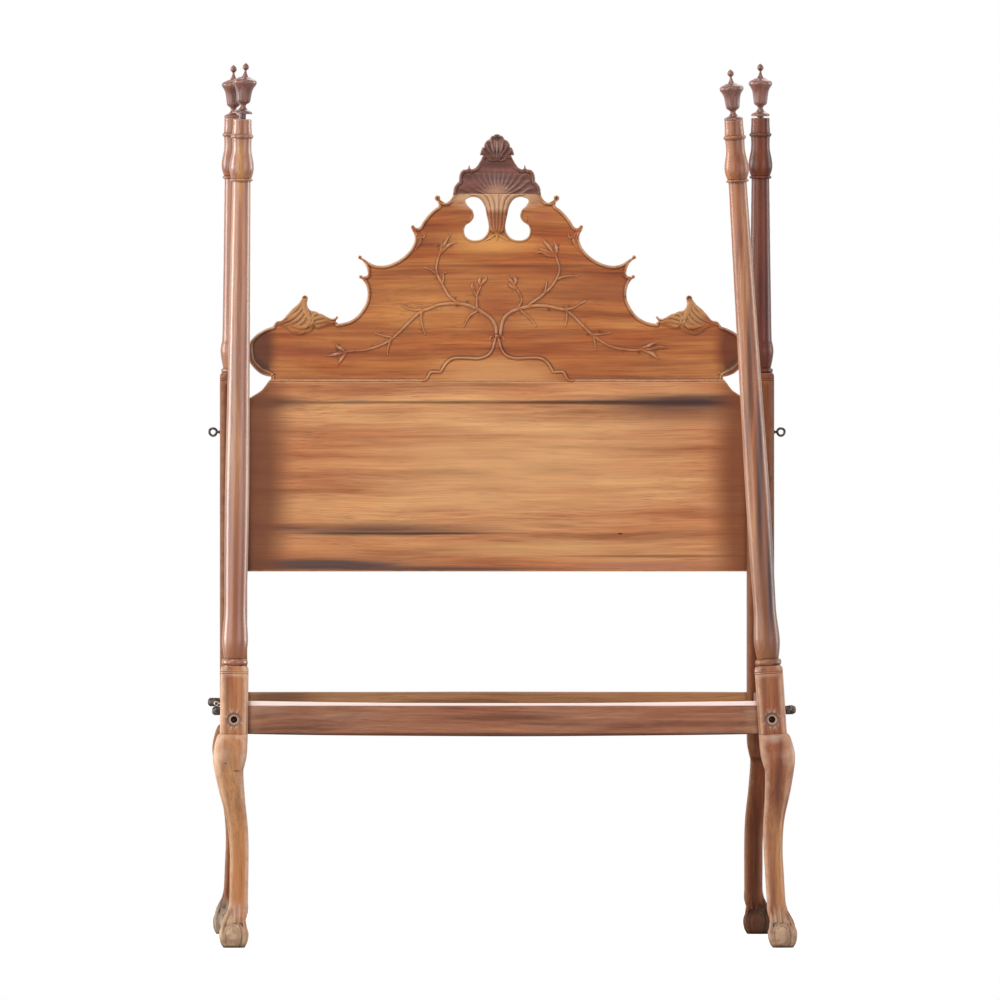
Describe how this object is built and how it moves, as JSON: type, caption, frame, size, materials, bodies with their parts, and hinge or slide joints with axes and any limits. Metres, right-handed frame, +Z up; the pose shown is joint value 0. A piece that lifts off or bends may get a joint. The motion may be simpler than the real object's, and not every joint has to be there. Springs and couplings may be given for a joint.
{
  "type": "four-poster bedstead",
  "caption": "Carved hardwood four-poster bedstead with turned posts, lift-out urn finials, claw and ball feet and a pierced headboard.",
  "frame": {"origin": "on the floor, below the middle of the bed", "axes": "+X to the right seen from the foot end, +Y from the foot end to the head end, +Z up"},
  "size_m": [1.392, 1.998, 2.098],
  "materials": {
    "post_wood": "waxed, worn on the arrises",
    "head_post_wood": "waxed, dark red-brown",
    "finial_wood": "polished, dark plum-brown",
    "board_wood": "waxed, golden with dark streaks",
    "crest_wood": "waxed, dark purple-brown",
    "rail_wood": "waxed, rubbed pale at the ends",
    "pale_wood": "planed, unpolished",
    "iron": "forged, dark",
    "worn_iron": "rubbed bright"
  },
  "bodies": {
    "bedstead": {"foot_leg_left": "post_wood", "foot_leg_right": "post_wood", "head_leg_left": "head_post_wood", "head_leg_right": "head_post_wood", "foot_column_left": "post_wood", "foot_column_right": "post_wood", "head_column_left": "head_post_wood", "head_column_right": "head_post_wood", "headboard_lower": "board_wood", "headboard_upper": "board_wood", "headboard_crest": "crest_wood", "headboard_dowels": "pale_wood", "foot_rail": "rail_wood", "head_rail": "rail_wood", "side_rail_left": "rail_wood", "side_rail_right": "rail_wood", "ledger_left": "pale_wood", "ledger_right": "pale_wood", "slats": "pale_wood", "cross_bolts_foot": "iron", "cross_bolts_head": "iron", "cross_nuts": "iron", "side_bolts": "iron", "side_nuts": "iron", "head_eye_left": "iron", "head_eye_right": "iron", "foot_screw_eye": "worn_iron"},
    "finial_foot_left": {"finial_foot_left": "finial_wood"},
    "finial_foot_right": {"finial_foot_right": "finial_wood"},
    "finial_head_left": {"finial_head_left": "finial_wood"},
    "finial_head_right": {"finial_head_right": "finial_wood"}
  },
  "joints": [
    {"name": "foot_left_finial_lift", "type": "slide", "parent": "bedstead", "child": "finial_foot_left", "axis": [0.0663, 0, 0.9978], "range_m": [0, 0.06]},
    {"name": "foot_right_finial_lift", "type": "slide", "parent": "bedstead", "child": "finial_foot_right", "axis": [-0.0638, 0, 0.998], "range_m": [0, 0.06]},
    {"name": "head_left_finial_lift", "type": "slide", "parent": "bedstead", "child": "finial_head_left", "axis": [0, 0, 1], "range_m": [0, 0.06]},
    {"name": "head_right_finial_lift", "type": "slide", "parent": "bedstead", "child": "finial_head_right", "axis": [0, 0, 1], "range_m": [0, 0.06]}
  ]
}
